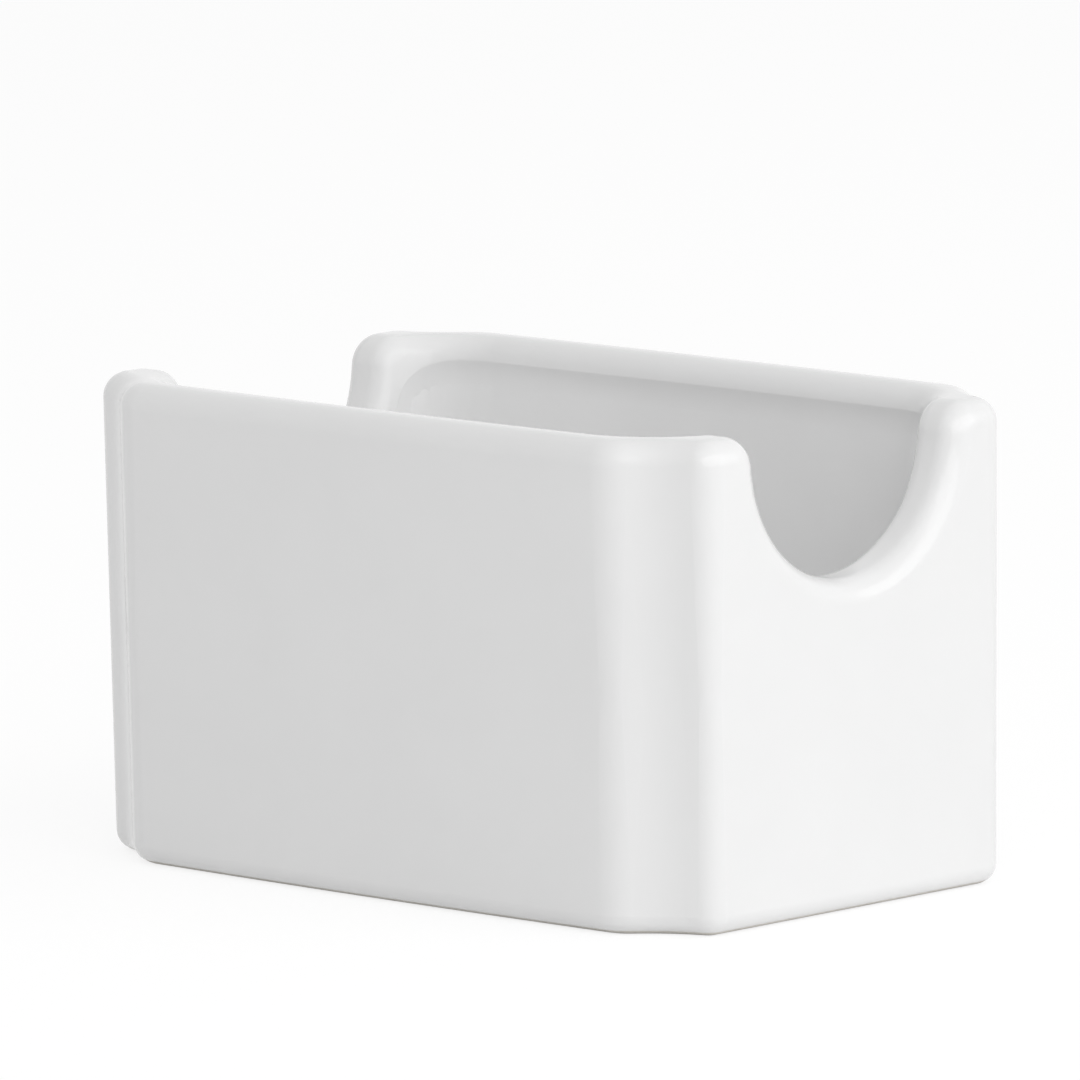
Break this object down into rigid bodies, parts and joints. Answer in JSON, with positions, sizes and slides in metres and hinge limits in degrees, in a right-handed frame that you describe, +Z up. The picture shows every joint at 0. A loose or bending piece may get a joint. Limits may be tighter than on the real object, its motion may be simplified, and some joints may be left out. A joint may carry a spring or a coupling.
{
  "type": "sugar packet holder",
  "caption": "Open rectangular white glazed porcelain box that holds sugar packets on edge, with a half-round finger notch in each end wall and scooped upright corners.",
  "frame": {"origin": "on the table, under the middle of the box", "axes": "+X towards a notched end wall along the length, +Z up, the long walls face -Y and +Y"},
  "size_m": [0.108, 0.069, 0.062],
  "materials": {
    "bare_porcelain": "fired, unglazed, fine matt",
    "white_glaze": "gloss"
  },
  "bodies": {
    "root": {"porcelain_body": "bare_porcelain", "glaze_coat": "white_glaze", "underside_glaze": "white_glaze"}
  },
  "joints": []
}
